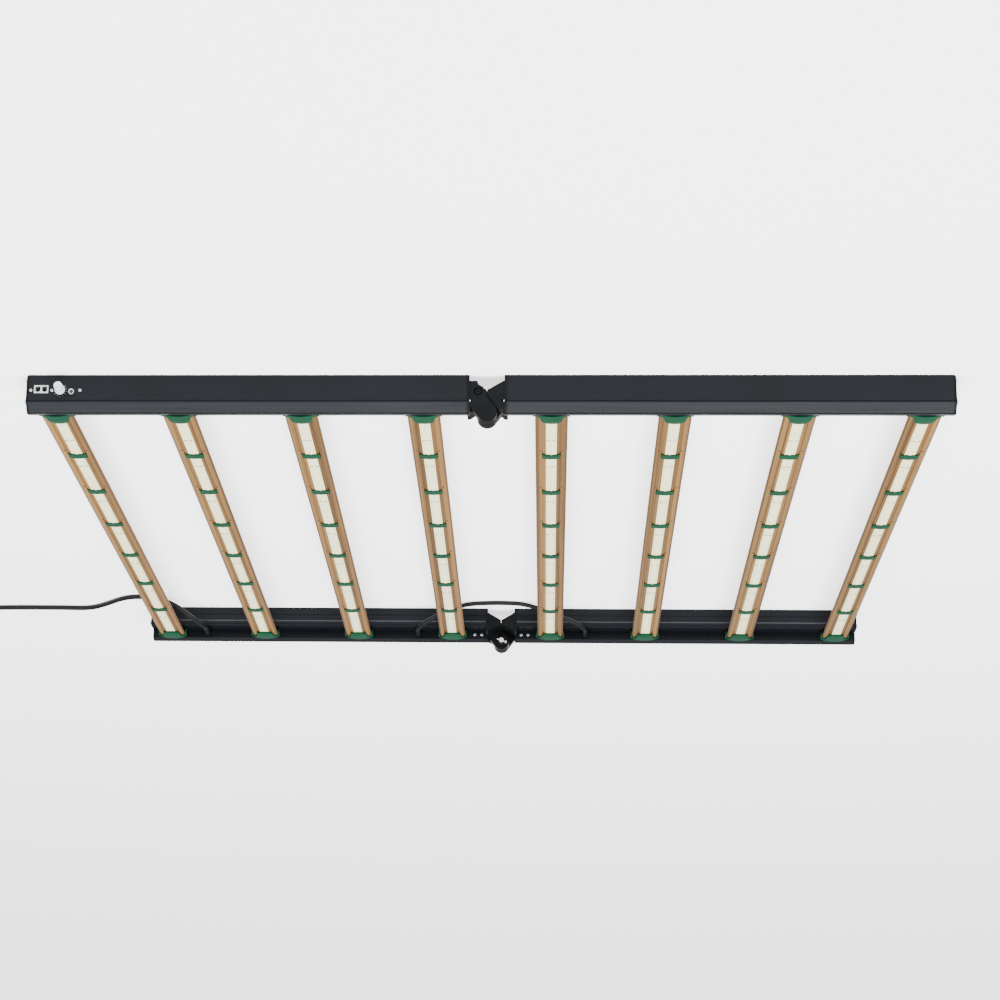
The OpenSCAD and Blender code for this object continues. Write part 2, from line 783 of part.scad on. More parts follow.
front_beam_a();
front_beam_b();
back_beam_a();
back_beam_b();
front_end_plate_a();
front_end_plate_b();
back_end_plate_a();
back_end_plate_b();
beam_end_screws("a");  // beam_end_screws_a
beam_end_screws("b");  // beam_end_screws_b
hanger_inserts("a");  // hanger_inserts_a
hanger_inserts("b");  // hanger_inserts_b
front_hinge_bracket_a();
front_hinge_bracket_b();
back_hinge_bracket_a();
back_hinge_bracket_b();
front_hinge_pin();
back_hinge_pin();
front_hinge_retainer();
back_hinge_retainer();
front_lock_pin();
back_lock_pin();
heatsink(0);  // heatsink_bar_1
heatsink(1);  // heatsink_bar_2
heatsink(2);  // heatsink_bar_3
heatsink(3);  // heatsink_bar_4
heatsink(4);  // heatsink_bar_5
heatsink(5);  // heatsink_bar_6
heatsink(6);  // heatsink_bar_7
heatsink(7);  // heatsink_bar_8
led_board(0);  // led_board_1
led_board(1);  // led_board_2
led_board(2);  // led_board_3
led_board(3);  // led_board_4
led_board(4);  // led_board_5
led_board(5);  // led_board_6
led_board(6);  // led_board_7
led_board(7);  // led_board_8
strap_clips("a");  // strap_clips_a
strap_clips("b");  // strap_clips_b
bar_end_caps("a");  // bar_end_caps_a
bar_end_caps("b");  // bar_end_caps_b
bar_screws("a");  // bar_screws_a
bar_screws("b");  // bar_screws_b
led_driver("a");  // led_driver_a
led_driver("b");  // led_driver_b
control_board();
data_sockets();
dimmer_pot();
dimmer_knob();
sensor_jack();
panel_screws();
mains_gland();
jumper_gland("a");  // jumper_gland_a
jumper_gland("b");  // jumper_gland_b
jumper_cable();
mains_cord();
mains_cord_coil();
mains_plug();
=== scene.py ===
"""Looks of the folding eight-bar LED grow light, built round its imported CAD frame.

The fixture lies on its back: X runs along the hinged beams, Y along the light bars, Z out of the
lit face. Lengths named in millimetres are turned into metres by MM.
"""
import math
import random

import bmesh
import bpy
from mathutils import Matrix, Vector


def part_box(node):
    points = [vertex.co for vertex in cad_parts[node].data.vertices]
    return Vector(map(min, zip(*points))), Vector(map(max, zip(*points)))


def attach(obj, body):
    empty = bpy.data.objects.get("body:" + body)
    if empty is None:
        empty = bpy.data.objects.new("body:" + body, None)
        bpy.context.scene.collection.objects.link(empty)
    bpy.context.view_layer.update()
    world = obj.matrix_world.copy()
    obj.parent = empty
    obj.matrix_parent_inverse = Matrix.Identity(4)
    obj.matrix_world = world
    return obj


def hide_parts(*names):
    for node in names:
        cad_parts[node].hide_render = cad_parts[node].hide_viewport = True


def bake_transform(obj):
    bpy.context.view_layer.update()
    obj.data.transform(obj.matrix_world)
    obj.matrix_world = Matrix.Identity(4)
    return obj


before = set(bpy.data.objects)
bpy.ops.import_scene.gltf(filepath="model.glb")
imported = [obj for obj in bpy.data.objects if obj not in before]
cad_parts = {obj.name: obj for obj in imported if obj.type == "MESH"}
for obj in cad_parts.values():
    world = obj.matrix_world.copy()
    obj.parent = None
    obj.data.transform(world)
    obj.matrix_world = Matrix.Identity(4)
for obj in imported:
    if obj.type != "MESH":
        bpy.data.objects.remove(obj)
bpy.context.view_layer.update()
MM = 0.001
UP = Vector((0, 0, 1))


# ---------------------------------------------------------------- camera

CAMERA_AT = Vector((-0.0717, -3.3303, 1.0867))
CAMERA_YAW, CAMERA_PITCH, CAMERA_ROLL = 0.0563, -0.3376, 3.1617
CAMERA_LENS = 90.33
CAMERA_SHIFT = (0.0863, -0.0433)


def make_camera():
    """The camera, turned about half round in its own plane as the fixture is seen."""
    forward = Vector((math.sin(CAMERA_YAW) * math.cos(CAMERA_PITCH),
                      math.cos(CAMERA_YAW) * math.cos(CAMERA_PITCH), math.sin(CAMERA_PITCH)))
    level_right = forward.cross(UP).normalized()
    level_up = level_right.cross(forward)
    cos_roll, sin_roll = math.cos(CAMERA_ROLL), math.sin(CAMERA_ROLL)
    right = cos_roll * level_right + sin_roll * level_up
    up = cos_roll * level_up - sin_roll * level_right
    data = bpy.data.cameras.new("camera")
    data.lens, data.sensor_width = CAMERA_LENS, 36
    data.shift_x, data.shift_y = CAMERA_SHIFT
    data.clip_start, data.clip_end = 0.05, 200
    camera = bpy.data.objects.new("camera", data)
    turn = Matrix((right, up, -forward)).transposed().to_4x4()
    camera.matrix_world = Matrix.Translation(CAMERA_AT) @ turn
    bpy.context.scene.collection.objects.link(camera)
    bpy.context.scene.camera = camera


make_camera()


# ---------------------------------------------------------------- material helpers

class Shader:
    """A Principled material with short calls for the few nodes used here."""

    def __init__(self, name, color, roughness, metallic=0.0, specular=0.5, coat=0.0, coat_roughness=0.2):
        self.material = bpy.data.materials.new(name)
        self.material.use_nodes = True
        self.tree = self.material.node_tree
        self.bsdf = self.tree.nodes["Principled BSDF"]
        self.set(self.bsdf, "Base Color", (*color, 1))
        self.set(self.bsdf, "Roughness", roughness)
        self.set(self.bsdf, "Metallic", metallic)
        self.set(self.bsdf, "Specular IOR Level", specular)
        self.set(self.bsdf, "Coat Weight", coat)
        self.set(self.bsdf, "Coat Roughness", coat_roughness)
        self.material.diffuse_color = (*color, 1)
        self.coords = self.node("ShaderNodeTexCoord")
        self.last_bump = None

    def set(self, node, socket, value):
        node.inputs[socket].default_value = value

    def node(self, kind, **inputs):
        made = self.tree.nodes.new(kind)
        for socket, value in inputs.items():
            self.set(made, socket.replace("_", " "), value)
        return made

    def link(self, output, socket):
        self.tree.links.new(output, socket)

    def noise(self, scale, stretch=(1, 1, 1), detail=3.0, roughness=0.55):
        """Noise in object space, in metres; stretch above 1 packs it closer along that axis."""
        mapping = self.node("ShaderNodeMapping")
        self.set(mapping, "Scale", stretch)
        self.link(self.coords.outputs["Object"], mapping.inputs["Vector"])
        noise = self.node("ShaderNodeTexNoise", Scale=scale, Detail=detail, Roughness=roughness)
        self.link(mapping.outputs["Vector"], noise.inputs["Vector"])
        return noise.outputs["Fac"]

    def ramp(self, fac, low, high, start=0.3, end=0.7):
        """A colour ramp between two colours."""
        ramp = self.node("ShaderNodeValToRGB")
        self.link(fac, ramp.inputs["Fac"])
        ramp.color_ramp.elements[0].position = start
        ramp.color_ramp.elements[1].position = end
        ramp.color_ramp.elements[0].color = (*low, 1)
        ramp.color_ramp.elements[1].color = (*high, 1)
        return ramp.outputs["Color"]

    def range(self, fac, low, high, start=0.3, end=0.7):
        """A number that runs from low to high as fac runs from start to end."""
        made = self.node("ShaderNodeMapRange")
        for name, value in (("From Min", start), ("From Max", end), ("To Min", low), ("To Max", high)):
            self.set(made, name, value)
        self.link(fac, made.inputs["Value"])
        return made.outputs["Result"]

    def color(self, fac, low, high, start=0.3, end=0.7):
        self.link(self.ramp(fac, low, high, start, end), self.bsdf.inputs["Base Color"])

    def rough(self, fac, low, high, start=0.3, end=0.7):
        self.link(self.range(fac, low, high, start, end), self.bsdf.inputs["Roughness"])

    def bump(self, height, distance, strength=1.0):
        """Adds a bump on top of those before it; distance is in metres."""
        bump = self.node("ShaderNodeBump", Strength=strength, Distance=distance)
        self.link(height, bump.inputs["Height"])
        if self.last_bump:
            self.link(self.last_bump, bump.inputs["Normal"])
        self.last_bump = bump.outputs["Normal"]
        self.link(self.last_bump, self.bsdf.inputs["Normal"])


def tint(color, factor):
    """A colour made lighter or darker."""
    return tuple(c * factor for c in color)


def extruded_paint(name, color, roughness, along):
    """Satin powder coat on an extrusion, with faint die lines along one axis."""
    shader = Shader(name, color, roughness, specular=0.085)
    die_stretch = [1, 1, 1]
    die_stretch[along] = 0.012
    die_lines = shader.noise(620, die_stretch, detail=2)
    cloud = shader.noise(9, detail=4)
    grain = shader.noise(2600, detail=2)
    shader.color(cloud, tint(color, 0.86), tint(color, 1.2))
    shader.rough(die_lines, roughness - 0.05, roughness + 0.07)
    shader.bump(grain, 0.000035, 0.5)
    shader.bump(die_lines, 0.00003, 0.35)
    return shader.material


def cast_paint(name, color, roughness):
    """Matt coat on a die casting, with a fine pitted skin."""
    shader = Shader(name, color, roughness, specular=0.04)
    shader.color(shader.noise(40, detail=5), tint(color, 0.8), tint(color, 1.35))
    shader.rough(shader.noise(150), roughness - 0.07, roughness + 0.08)
    shader.bump(shader.noise(900, detail=5, roughness=0.7), 0.00012, 0.5)
    return shader.material


def anodised(name, color, deep, roughness):
    """Coloured anodising on an extrusion along Y: bright, slightly cloudy, with die lines."""
    shader = Shader(name, color, roughness, metallic=0.7, specular=0.3)
    die_lines = shader.noise(900, (1, 0.006, 1), detail=3)
    bands = shader.noise(110, (1, 0.003, 0.3), detail=2)
    mixed = shader.node("ShaderNodeMath")
    mixed.operation = "ADD"
    shader.link(shader.range(die_lines, 0.0, 0.35), mixed.inputs[0])
    shader.link(shader.range(bands, 0.0, 0.65), mixed.inputs[1])
    shader.color(mixed.outputs["Value"], deep, color, 0.1, 0.9)
    shader.rough(die_lines, roughness - 0.06, roughness + 0.08)
    shader.bump(die_lines, 0.00004, 0.4)
    shader.bump(shader.noise(2400, detail=2), 0.00003, 0.35)
    return shader.material


def moulded(name, color, roughness, grain=0.00004, coat=0.0, specular=0.4):
    """Injection-moulded plastic with a fine spark-eroded texture."""
    shader = Shader(name, color, roughness, specular=specular, coat=coat)
    shader.color(shader.noise(60, detail=4), tint(color, 0.88), tint(color, 1.12))
    shader.rough(shader.noise(240), roughness - 0.06, roughness + 0.07)
    shader.bump(shader.noise(1900, detail=3), grain, 0.5)
    return shader.material


def plated(name, color, roughness):
    """Zinc or nickel plate: metal with a cloudy, finely scratched skin."""
    shader = Shader(name, color, roughness, metallic=0.95)
    shader.color(shader.noise(330, detail=4), tint(color, 0.82), tint(color, 1.1))
    shader.rough(shader.noise(900), roughness - 0.08, roughness + 0.1)
    shader.bump(shader.noise(2600, (1, 0.2, 1), detail=3), 0.00002, 0.4)
    return shader.material


def solder_mask(name, color):
    """Glossy printed-circuit lacquer with a slight orange peel."""
    shader = Shader(name, color, 0.32, specular=0.5)
    shader.color(shader.noise(26, detail=3), tint(color, 0.96), tint(color, 1.02))
    shader.rough(shader.noise(500), 0.27, 0.38)
    shader.bump(shader.noise(1500, detail=2), 0.00002, 0.3)
    return shader.material


def cable_jacket(name, color):
    """Flexible cable jacket, dull with a faint surface wander."""
    shader = Shader(name, color, 0.5, specular=0.12)
    shader.color(shader.noise(120, detail=4), tint(color, 0.7), tint(color, 1.5))
    shader.rough(shader.noise(400), 0.44, 0.58)
    shader.bump(shader.noise(1300, detail=3), 0.00006, 0.45)
    return shader.material


BEAM = extruded_paint("beam_coat", (0.0034, 0.004, 0.0054), 0.38, along=0)
PLATE = cast_paint("plate_coat", (0.003, 0.0035, 0.004), 0.45)
HINGE = cast_paint("hinge_coat", (0.0036, 0.004, 0.0041), 0.4)
GOLD = anodised("gold_anodising", (0.5, 0.262, 0.072), (0.125, 0.052, 0.008), 0.4)
# Darker gold on the bars' outer edge chamfers: painted shade.
GOLD_SHADE = anodised("gold_anodising_painted_edge_shade", (0.24, 0.115, 0.026), (0.12, 0.052, 0.01), 0.42)
MASK = solder_mask("white_solder_mask", (0.99, 0.93, 0.49))
TRACE = solder_mask("mask_over_copper", (0.86, 0.79, 0.48))
LED_FRAME = moulded("led_package", (0.95, 0.92, 0.80), 0.35, grain=0.00001)
PHOSPHOR = moulded("phosphor", (0.86, 0.66, 0.14), 0.28, grain=0.00001, coat=0.3)
SOLDER = plated("solder", (0.75, 0.75, 0.74), 0.3)
GREEN = moulded("green_plastic", (0.0004, 0.043, 0.0175), 0.4, specular=0.08)
ZINC = plated("zinc_plate", (0.52, 0.53, 0.54), 0.34)
DRIVER = plated("driver_case", (0.5, 0.51, 0.52), 0.45)
CIRCUIT = solder_mask("green_solder_mask", (0.015, 0.12, 0.04))
SOCKET = moulded("socket_plastic", (0.46, 0.48, 0.47), 0.45)
# Dark grey for the floors of cross recesses and the insides of the sockets and jack, as painted shade; also
# the printed pointer line on the knob.
RECESS_SHADE_AND_PRINT = moulded("painted_recess_shade_and_print", (0.035, 0.035, 0.037), 0.6)
CONTACT = plated("gold_contact", (0.26, 0.19, 0.09), 0.4)
CHIP = moulded("chip_grey", (0.05, 0.055, 0.06), 0.5, grain=0.00001)
# Lighter coat on the beams' inner rib: a painted highlight along the ridge.
RIB_HIGHLIGHT = extruded_paint("beam_rib_painted_highlight", (0.03, 0.032, 0.036), 0.38, along=0)
OXIDE = cast_paint("black_oxide", (0.006, 0.006, 0.0065), 0.4)
# Dark brown inside the dimples of the heatsinks: painted shade in the recesses.
DIMPLE_SHADE = moulded("dimple_painted_shade", (0.05, 0.024, 0.008), 0.6, grain=0.00001)
KNOB = moulded("knob_plastic", (0.60, 0.64, 0.63), 0.42)
NICKEL = plated("nickel_plate", (0.6, 0.59, 0.56), 0.28)
BLACK_PLASTIC = moulded("black_plastic", (0.003, 0.003, 0.0033), 0.45, specular=0.08)
JACKET = cable_jacket("cable_jacket", (0.0042, 0.0042, 0.0047))
PRINT = moulded("dial_print", (0.62, 0.63, 0.63), 0.5, grain=0.00001)
BRASS = plated("brass_blade", (0.72, 0.6, 0.36), 0.3)


# ---------------------------------------------------------------- mesh helpers

class Shape:
    """Collects closed forms, in metres, and turns them into one object."""

    def __init__(self):
        self.verts, self.faces, self.slots = [], [], []

    def add(self, verts, faces, slot=0, place=Matrix.Identity(4)):
        start = len(self.verts)
        self.verts += [place @ Vector(v) for v in verts]
        self.faces += [[start + i for i in face] for face in faces]
        self.slots += [slot] * len(faces)

    def loft(self, rings, slot=0, place=Matrix.Identity(4)):
        """Joins rings of equal count into a closed form with flat ends."""
        count = len(rings[0])
        verts = [point for ring in rings for point in ring]
        faces = [list(range(count))[::-1], [(len(rings) - 1) * count + k for k in range(count)]]
        for i in range(len(rings) - 1):
            for k in range(count):
                after = (k + 1) % count
                faces.append([i * count + k, i * count + after, (i + 1) * count + after, (i + 1) * count + k])
        self.add(verts, faces, slot, place)

    def block(self, low, high, slot=0, place=Matrix.Identity(4)):
        """A block between two corners, for details that a bevel rounds or that are tiny."""
        (x0, y0, z0), (x1, y1, z1) = low, high
        lower = [(x0, y0, z0), (x1, y0, z0), (x1, y1, z0), (x0, y1, z0)]
        upper = [(x, y, z1) for x, y, _ in lower]
        self.loft([lower, upper], slot, place)

    def lathe(self, profile, count=40, slot=0, place=Matrix.Identity(4), ripple=None):
        """Turns (radius, height) points round local Z; ripple(angle, radius, height) varies the radius."""
        rings = []
        for radius, height in profile:
            ring = []
            for k in range(count):
                angle = 2 * math.pi * k / count
                r = ripple(angle, radius, height) if ripple else radius
                ring.append((r * math.cos(angle), r * math.sin(angle), height))
            rings.append(ring)
        self.loft(rings, slot, place)

    def tube(self, path, radius, count=12, slot=0):
        """A round tube along a path; radius is a number or a function of the distance along it."""
        distance, rings = 0.0, []
        side = None
        for i, point in enumerate(path):
            before, after = path[max(i - 1, 0)], path[min(i + 1, len(path) - 1)]
            along = (Vector(after) - Vector(before)).normalized()
            if side is None:
                side = along.orthogonal().normalized()
            side = (side - along * side.dot(along)).normalized()
            other = along.cross(side)
            if i:
                distance += (Vector(point) - Vector(before)).length
            r = radius(distance) if callable(radius) else radius
            rings.append([Vector(point) + r * (math.cos(2 * math.pi * k / count) * side
                                               + math.sin(2 * math.pi * k / count) * other)
                          for k in range(count)])
        self.loft(rings, slot)

    def piece(self, name, materials, body=None, replaces=(), bevel=0.0, segments=2, angle=35):
        """Makes the object, rounds its edges and puts it on its body."""
        mesh = bpy.data.meshes.new(name)
        mesh.from_pydata(self.verts, [], self.faces)
        for material in materials:
            mesh.materials.append(material)
        mesh.polygons.foreach_set("material_index", self.slots)
        tidy = bmesh.new()
        tidy.from_mesh(mesh)
        bmesh.ops.recalc_face_normals(tidy, faces=tidy.faces)
        tidy.to_mesh(mesh)
        tidy.free()
        smooth_by_angle(mesh, angle)
        made = bpy.data.objects.new(name, mesh)
        bpy.context.scene.collection.objects.link(made)
        if bevel:
            round_edges(made, bevel, segments, angle)
        if body:
            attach(made, body)
        if replaces:
            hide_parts(*replaces)
        return made


def smooth_by_angle(mesh, angle):
    """Smooth shading, with the edges sharper than the angle kept sharp."""
    mesh.polygons.foreach_set("use_smooth", [True] * len(mesh.polygons))
    mesh.set_sharp_from_angle(angle=math.radians(angle))


def round_edges(made, width, segments=2, angle=35):
    """A narrow bevel on every edge sharper than the angle, with the large faces kept flat."""
    bevel = made.modifiers.new("rounded_edges", "BEVEL")
    bevel.width, bevel.segments = width, segments
    bevel.limit_method, bevel.angle_limit = "ANGLE", math.radians(angle)
    bevel.use_clamp_overlap = True
    bevel.harden_normals = True
    bevel.miter_outer = "MITER_ARC"
    flat = made.modifiers.new("flat_faces", "WEIGHTED_NORMAL")
    flat.mode, flat.weight, flat.keep_sharp = "FACE_AREA", 80, True


def facing(at, outward, turn=0.0):
    """A placement whose local Z points outward, turned about it."""
    rotation = Vector(outward).to_track_quat("Z", "Y").to_matrix().to_4x4()
    return Matrix.Translation(at) @ rotation @ Matrix.Rotation(turn, 4, "Z")


def islands(node):
    """(lowest corner, highest corner) of each separate solid of a CAD node, sorted."""
    copy = bmesh.new()
    copy.from_mesh(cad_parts[node].data)
    bmesh.ops.remove_doubles(copy, verts=copy.verts, dist=1e-6)
    seen, boxes = set(), []
    for start in copy.verts:
        if start in seen:
            continue
        seen.add(start)
        stack, points = [start], []
        while stack:
            vert = stack.pop()
            points.append(vert.co.copy())
            for edge in vert.link_edges:
                other = edge.other_vert(vert)
                if other not in seen:
                    seen.add(other)
                    stack.append(other)
        low = Vector([min(p[k] for p in points) for k in range(3)])
        high = Vector([max(p[k] for p in points) for k in range(3)])
        boxes.append((low, high))
    copy.free()
    return sorted(boxes, key=lambda pair: tuple(round(c, 4) for c in pair[0]))


def smooth_path(points, steps):
    """A Catmull-Rom curve through the given points."""
    points = [Vector(p) for p in points]
    padded = [2 * points[0] - points[1], *points, 2 * points[-1] - points[-2]]
    path = []
    for i in range(1, len(padded) - 2):
        a, b, c, d = padded[i - 1:i + 3]
        for k in range(steps):
            t = k / steps
            path.append(0.5 * (2 * b + (c - a) * t + (2 * a - 5 * b + 4 * c - d) * t * t
                               + (3 * b - a - 3 * c + d) * t ** 3))
    return path + [points[-1]]


def in_metres(points):
    """Points given in millimetres, in metres."""
    return [tuple(c * MM for c in p) for p in points]


# ---------------------------------------------------------------- cords

CORD_D, JUMPER_D = 7.6 * MM, 7.0 * MM
CORD_ROUTE = in_metres([
    (466.3, 489.5, 34.65), (466.3, 481.5, 34.65), (467, 474, 34.6), (469.6, 466, 34), (474, 457.9, 32.4),
    (480, 449.9, 29.6), (487.2, 442.2, 25.6), (495.6, 434.8, 20.6), (505, 428.1, 15.4),
    (515.4, 422.2, 10.9), (526.5, 417.3, 7.4), (538.4, 413.5, 5), (550.7, 411.1, 4), (563.4, 410.3, 3.8),
    (576.5, 412.6, 3.8), (588.8, 419, 3.8), (600, 428.4, 3.8), (611, 439.6, 3.8), (622, 450.8, 3.8),
    (633, 461.2, 3.8), (644, 469.4, 3.8), (656, 474.2, 3.8), (669, 475.6, 3.8), (684, 474.8, 3.8),
    (704, 474, 3.8), (732, 474, 3.8), (758, 474, 3.8), (786, 475, 3.8), (814, 476.6, 3.8),
    (840, 477.6, 3.8), (862, 477.6, 3.8)])
CORD_TAIL = in_metres([
    (919.6, 428, 11.4), (919.4, 419, 11.4), (918, 408, 11.2), (915.4, 397, 10.7), (913, 388, 10.2),
    (912.1, 380.5, 10), (912, 374, 10), (912, 371.5, 10)])
JUMPER_ROUTE = in_metres([
    (131.5, 493, 34.65), (131.5, 485, 34.65), (130.5, 477.5, 34.4), (127.6, 470.5, 33.2),
    (123, 464.5, 31.2), (117, 459.9, 28.4), (109.8, 456.6, 24.8), (101, 454, 20.6), (91, 451.4, 16.2),
    (80, 448.8, 12), (68, 446.2, 8), (55, 443.6, 5), (40, 441, 3.7), (23, 438.8, 3.5), (6, 437.4, 3.5),
    (-11, 438.2, 3.5), (-27, 440, 3.8), (-42, 442.6, 5.6), (-56, 445.4, 8.8), (-69.4, 448.2, 12.8),
    (-81, 450.6, 16.7), (-91.4, 452.6, 20.4), (-101, 454.4, 23.8), (-109.8, 456.8, 26.8),
    (-117, 459.9, 29.3), (-123, 464.5, 31.6), (-127.6, 470.5, 33.4), (-130.5, 477.5, 34.4),
    (-131.5, 485, 34.65), (-131.5, 493, 34.65)])
COIL_CENTRE = (870, 428)
COIL_TURNS = 5.25
COIL_STEPS = 20
COIL_OUTER_R, COIL_PITCH, COIL_FLOOR_Z = 49.6, 7.6, 3.8


def ease(t, start, end):
    """0 before start, 1 after end, smooth in between."""
    t = min(max((t - start) / (end - start), 0), 1)
    return t * t * (3 - 2 * t)


def coil_path():
    """Three turns inwards on the floor, then up and outwards again on top of them."""
    points = []
    for k in range(1, int(COIL_TURNS * COIL_STEPS) + 1):
        t = k / COIL_STEPS
        inwards = ease(t, 0.7, 1) + ease(t, 1.7, 2)
        outwards = ease(t, 3.1, 3.4) + ease(t, 4.1, 4.4)
        radius = COIL_OUTER_R - COIL_PITCH * (inwards - outwards)
        height = COIL_FLOOR_Z + COIL_PITCH * ease(t, 2.3, 2.65)
        angle = math.radians(90 - 360 * t)
        points.append((COIL_CENTRE[0] + radius * math.cos(angle),
                       COIL_CENTRE[1] + radius * math.sin(angle), height))
    return in_metres(points)


def curve_piece(name, points, diameter, material):
    """A cord as one open spline with a round bevel."""
    data = bpy.data.curves.new(name, "CURVE")
    data.dimensions = "3D"
    data.bevel_depth = diameter / 2
    data.bevel_resolution = 4
    data.use_fill_caps = True
    spline = data.splines.new("POLY")
    spline.points.add(len(points) - 1)
    for point, place in zip(spline.points, points):
        point.co = (*place, 1)
    spline.use_smooth = True
    data.materials.append(material)
    made = bpy.data.objects.new(name, data)
    bpy.context.scene.collection.objects.link(made)
    return made


def make_plug():
    """Moulded three-pin plug: ribbed strain relief, domed body with a grip recess, two blades and a pin."""
    low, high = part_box("mains_plug")
    x = (low.x + high.x) / 2
    back, z = high.y, (low.z + high.z) / 2
    place = Matrix.Translation((x, back, z)) @ Matrix.Rotation(math.radians(90), 4, "X")
    shape = Shape()
    relief = [(4.4, 0.0), (4.6, 1.2)]
    for k in range(6):
        start = 2.2 + k * 3.0
        grow = 4.7 + k * 0.42
        relief += [(grow - 0.75, start), (grow, start + 0.7), (grow + 0.1, start + 1.9),
                   (grow - 0.65, start + 2.4)]
    relief += [(7.0, 20.4), (7.4, 21.0)]
    shape.lathe([(r * MM, h * MM) for r, h in relief], 32, 0, place)
    rings = []
    for h, w, t in ((19.4, 5.2, 5.0), (20.4, 7.6, 6.8), (22.4, 9.8, 8.2), (25.5, 11.6, 9.3), (30, 12.2, 9.8),
                    (35, 12.3, 9.9), (41, 12.2, 9.8), (44.6, 12.1, 9.7), (45.7, 11.7, 9.3), (46, 11.1, 8.7)):
        rings.append([superellipse(w * MM, t * MM, k / 48, h * MM) for k in range(48)])
    shape.loft(rings, 0, place)
    blade_x, face = 6.35, 45
    for s in (-1, 1):
        shape.block(((s * blade_x - 0.75) * MM, -3.15 * MM, face * MM),
                    ((s * blade_x + 0.75) * MM, 3.15 * MM, 63.9 * MM),
                    1, place @ Matrix.Translation((0, 2.0 * MM, 0)))
    earth_pin = [(2.3, face), (2.3, 64.6), (1.9, 66.2), (1.1, 66.9)]
    shape.lathe([(r * MM, h * MM) for r, h in earth_pin], 24, 1,
                place @ Matrix.Translation((0, -5.4 * MM, 0)))
    return shape.piece("mains_plug_moulded", [BLACK_PLASTIC, BRASS], "power_half",
                       ["mains_plug"], bevel=0.0002, angle=40)


def superellipse(half_width, half_height, turn, height, power=3.2):
    """A point on a rounded rectangle, at a share of a full turn."""
    angle = 2 * math.pi * turn
    c, s = math.cos(angle), math.sin(angle)
    return (half_width * math.copysign(abs(c) ** (2 / power), c),
            half_height * math.copysign(abs(s) ** (2 / power), s), height)


def make_tie():
    """A cable tie closed round the bundle of turns, with its head on top."""
    shape = Shape()
    at = Vector((COIL_CENTRE[0], COIL_CENTRE[1] - 42, 7.6)) * MM
    count = 40
    outer = [Vector(superellipse(12.2 * MM, 8.1 * MM, k / count, 0, power=3.6)[:2]) for k in range(count)]
    thick, wide, floor_side = 0.9 * MM, 1.8 * MM, -7.5 * MM
    verts, faces = [], []
    for point in outer:
        inner = point * (1 - thick / point.length)
        for p, side in ((point, -wide), (point, wide), (inner, wide), (inner, -wide)):
            verts.append((at.x + side, at.y + p.x, at.z + max(p.y, floor_side)))
    for i in range(count):
        after = (i + 1) % count
        for k in range(4):
            faces.append([i * 4 + k, i * 4 + (k + 1) % 4, after * 4 + (k + 1) % 4, after * 4 + k])
    shape.add(verts, faces)
    shape.block((at.x - 2.9 * MM, at.y - 3 * MM, at.z + 7.2 * MM),
                (at.x + 2.9 * MM, at.y + 3 * MM, at.z + 11.5 * MM))
    return shape.piece("cord_tie", [BLACK_PLASTIC], "power_half", bevel=0.0002)


def make_cords():
    """The mains cord with its coil and plug, and the jumper cable between the halves."""
    plug = make_plug()
    tie = make_tie()
    outgoing = smooth_path(CORD_ROUTE, 4)
    tail = smooth_path(CORD_TAIL, 4)
    whole = outgoing + [Vector(p) for p in coil_path()] + tail[1:]
    cord = curve_piece("mains_cord_jacket", whole, CORD_D, JACKET)
    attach(cord, "power_half")
    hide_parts("mains_cord", "mains_cord_coil")

    path = smooth_path(JUMPER_ROUTE, 5)
    shape = Shape()
    shape.tube(path, JUMPER_D / 2, 16)
    jumper = shape.piece("jumper_cable_jacket", [JACKET], angle=60)
    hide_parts("jumper_cable")
    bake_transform(jumper)


make_cords()


# ---------------------------------------------------------------- carried-over CAD nodes

BARS = range(1, 9)
CLIP_ROWS = [(k - 2.5) * 142 for k in range(6)]
RIB_Z, RIB_HALF = 21.6 * MM, 1.4 * MM
DIMPLE_X, DIMPLE_R = 13 * MM, 2.9 * MM


def dress(node, material, bevel=0.0, angle=30, segments=2):
    """Gives a CAD node its material and rounds its edges."""
    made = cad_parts[node]
    made.data.materials.clear()
    made.data.materials.append(material)
    made.data.polygons.foreach_set("use_smooth", [True] * len(made.data.polygons))
    if bevel:
        weld = made.modifiers.new("weld", "WELD")
        weld.merge_threshold = 2e-6
        round_edges(made, bevel, segments, angle)
    return made


def paint_part(made, material, chosen):
    """Gives a second material to the faces whose middle passes the test."""
    made.data.materials.append(material)
    index = len(made.data.materials) - 1
    for face in made.data.polygons:
        if chosen(made.matrix_world @ face.center):
            face.material_index = index


def dress_beam(side, half):
    """A beam, with a lighter coat on the rib of its inner face as a painted highlight."""
    made = dress(f"{side}_beam_{half}", BEAM, 0.0002)
    low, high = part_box(f"{side}_beam_{half}")
    inner = high.y if side == "front" else low.y
    paint_part(made, RIB_HIGHLIGHT, lambda at: abs(at.y - inner) < 1.3 * MM and abs(at.z - RIB_Z) < RIB_HALF)


def dress_bar(number):
    """A heatsink, with painted shade inside the dimples beside its clips and along its outer edge chamfers.
    """
    node = f"heatsink_bar_{number}"
    made = dress(node, GOLD, 0.00015)
    low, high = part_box(node)
    x = (low.x + high.x) / 2
    rows = [(row - 19) * MM for row in CLIP_ROWS]

    def in_dimple(at):
        y = min(rows, key=lambda row: abs(row - at.y))
        return at.z < high.z - 0.05 * MM and math.hypot(abs(at.x - x) - DIMPLE_X, at.y - y) < DIMPLE_R

    # Painted shade inside the dimples.
    paint_part(made, DIMPLE_SHADE, in_dimple)
    # Painted shade along the outer edge chamfers.
    paint_part(made, GOLD_SHADE, lambda at: abs(at.x - x) > (high.x - low.x) / 2 - 2.3 * MM)


def dress_hinge_pin(side, inward):
    """Hinge pin and retainer: bright only at the cross-drilled tip and the split pin."""
    pin = dress(f"{side}_hinge_pin", ZINC, 0.0003)
    retainer = dress(f"{side}_hinge_retainer", ZINC, 0.0001)
    low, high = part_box(f"{side}_hinge_retainer")
    washer = low.y if inward > 0 else high.y
    for made in (pin, retainer):
        paint_part(made, OXIDE, lambda at: (at.y - washer) * inward < 1.7 * MM)


